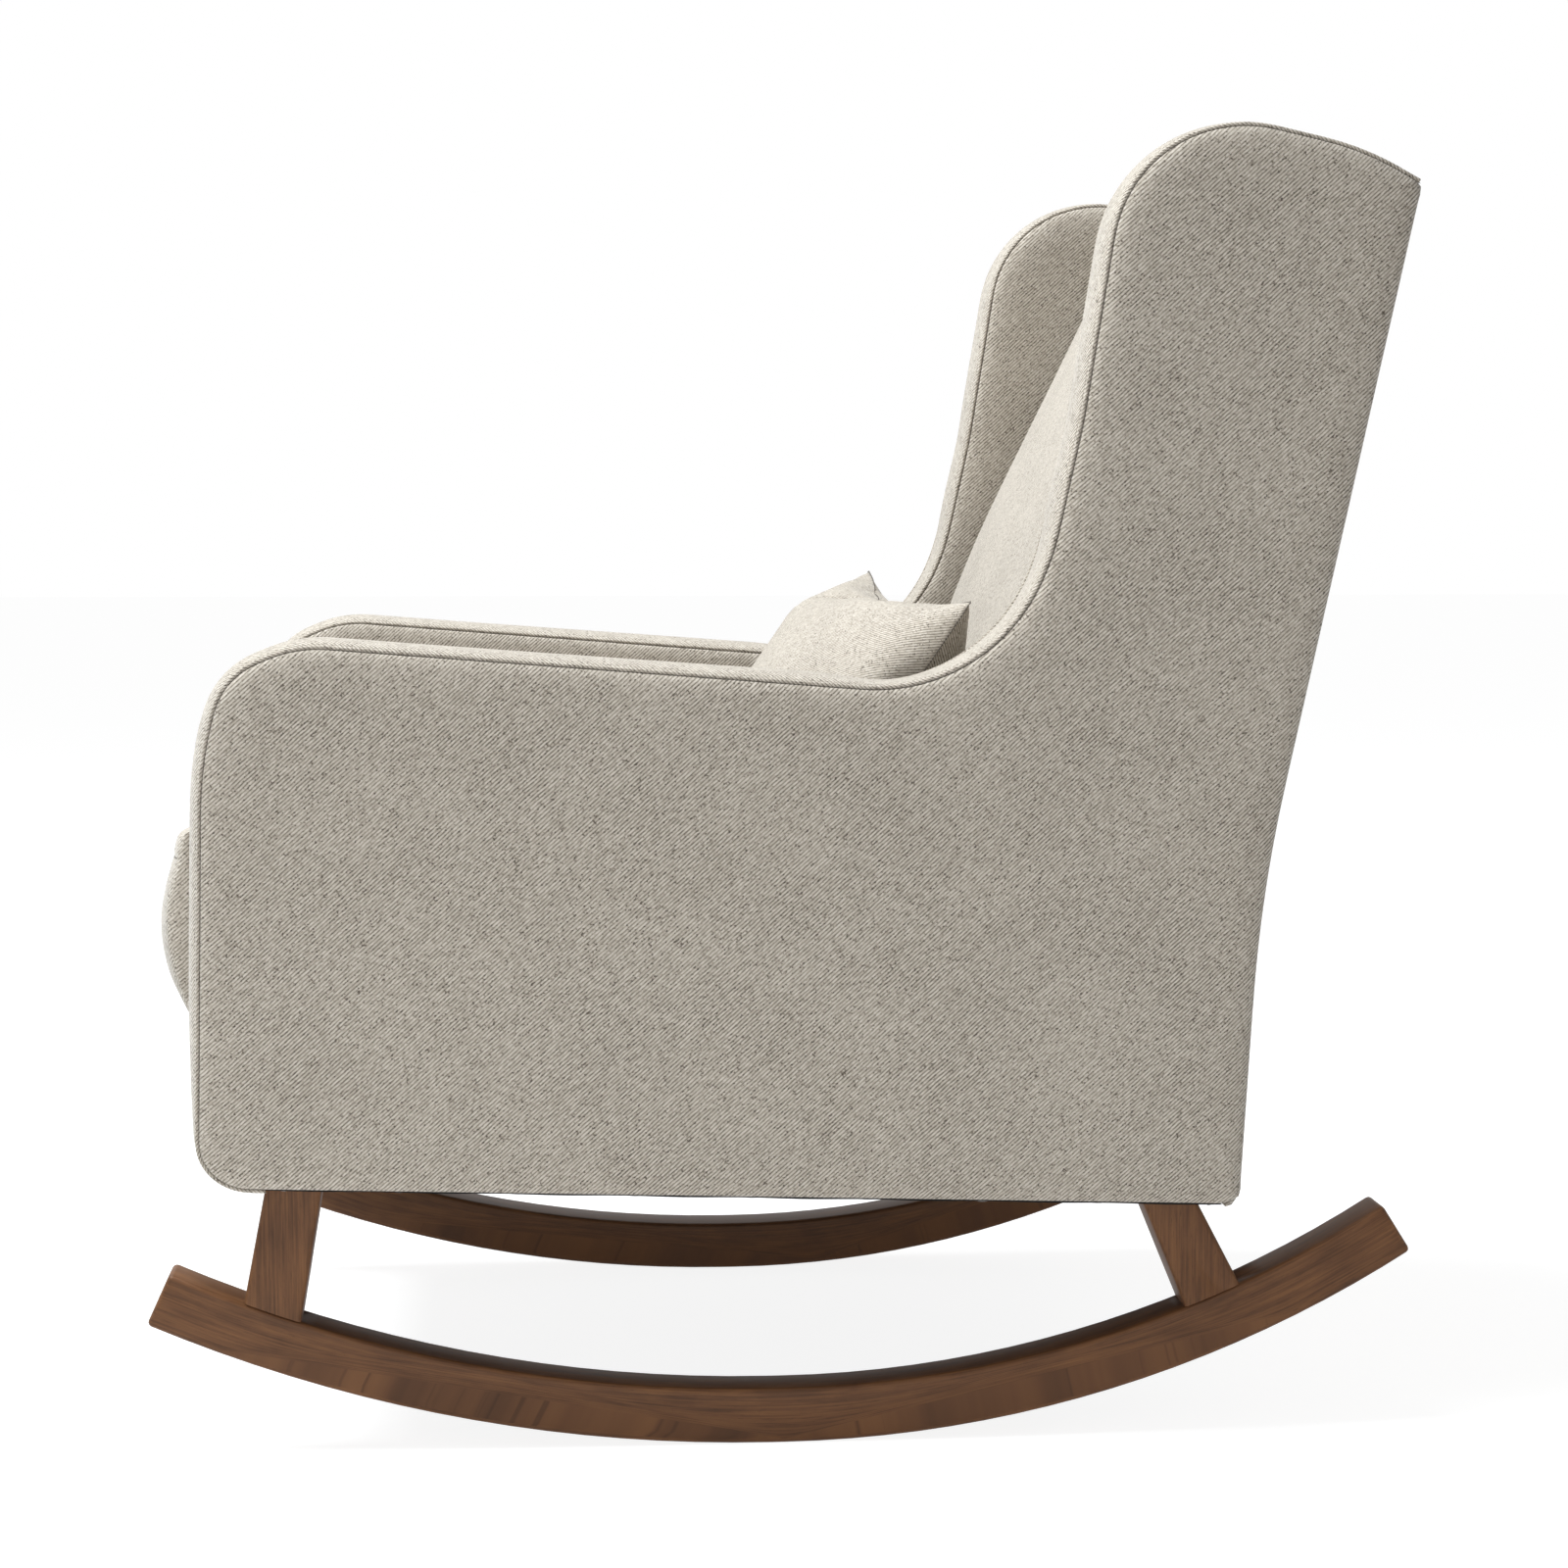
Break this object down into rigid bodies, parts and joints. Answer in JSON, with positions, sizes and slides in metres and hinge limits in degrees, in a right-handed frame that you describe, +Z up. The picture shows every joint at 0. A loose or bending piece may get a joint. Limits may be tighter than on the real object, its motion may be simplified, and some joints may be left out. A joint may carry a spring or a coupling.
{
  "type": "wingback rocking chair",
  "caption": "Upholstered wingback rocking chair with a loose seat cushion, a lumbar pillow and curved wooden runners.",
  "frame": {"origin": "on the floor, in the chair's middle plane, halfway between the runners' front and rear tips", "axes": "+Z up, +X towards the sitter's left arm, -Y the way the sitter faces"},
  "size_m": [0.7, 1.005, 1.0423],
  "materials": {
    "upholstery": "heathered linen-look twill over foam",
    "piping": "twill over cord",
    "deck_cloth": "padded deck cloth",
    "dust_cloth": "black cambric",
    "stained_wood": "mid-brown walnut stain, satin",
    "frame_plywood": "raw plywood",
    "frame_hardwood": "raw hardwood",
    "jute_webbing": "woven jute",
    "spring_steel": "oiled spring steel",
    "zinc_steel": "zinc plated"
  },
  "bodies": {
    "chair": {"back_top_rail": "frame_hardwood", "back_tuck_rail": "frame_hardwood", "back_webbing": "jute_webbing", "boxing_band_left": "upholstery", "boxing_band_right": "upholstery", "corner_blocks": "frame_hardwood", "dust_cover": "dust_cloth", "front_border": "upholstery", "front_leg_left": "stained_wood", "front_leg_right": "stained_wood", "inside_back": "upholstery", "leg_bolts": "zinc_steel", "leg_mount_blocks": "frame_hardwood", "leg_washers": "zinc_steel", "outside_back": "upholstery", "piping_inner_left": "piping", "piping_inner_right": "piping", "piping_outer_left": "piping", "piping_outer_right": "piping", "rear_leg_left": "stained_wood", "rear_leg_right": "stained_wood", "runner_left": "stained_wood", "runner_right": "stained_wood", "seat_cleat_left": "frame_hardwood", "seat_cleat_right": "frame_hardwood", "seat_deck": "deck_cloth", "seat_front_rail": "frame_hardwood", "seat_rear_rail": "frame_hardwood", "seat_spring_rail": "frame_hardwood", "seat_springs": "spring_steel", "side_frame_left": "frame_plywood", "side_frame_right": "frame_plywood", "side_panel_inner_left": "upholstery", "side_panel_inner_right": "upholstery", "side_panel_outer_left": "upholstery", "side_panel_outer_right": "upholstery", "spring_clips": "spring_steel"},
    "seat_cushion": {"seat_cushion": "upholstery"},
    "lumbar_pillow": {"lumbar_pillow": "upholstery"}
  },
  "joints": [
    {"name": "seat_cushion_lift", "type": "slide", "parent": "chair", "child": "seat_cushion", "axis": [0, 0, 1], "range_m": [0, 0.6]},
    {"name": "lumbar_pillow_lift", "type": "slide", "parent": "seat_cushion", "child": "lumbar_pillow", "axis": [0, 0, 1], "range_m": [0, 0.4]}
  ]
}
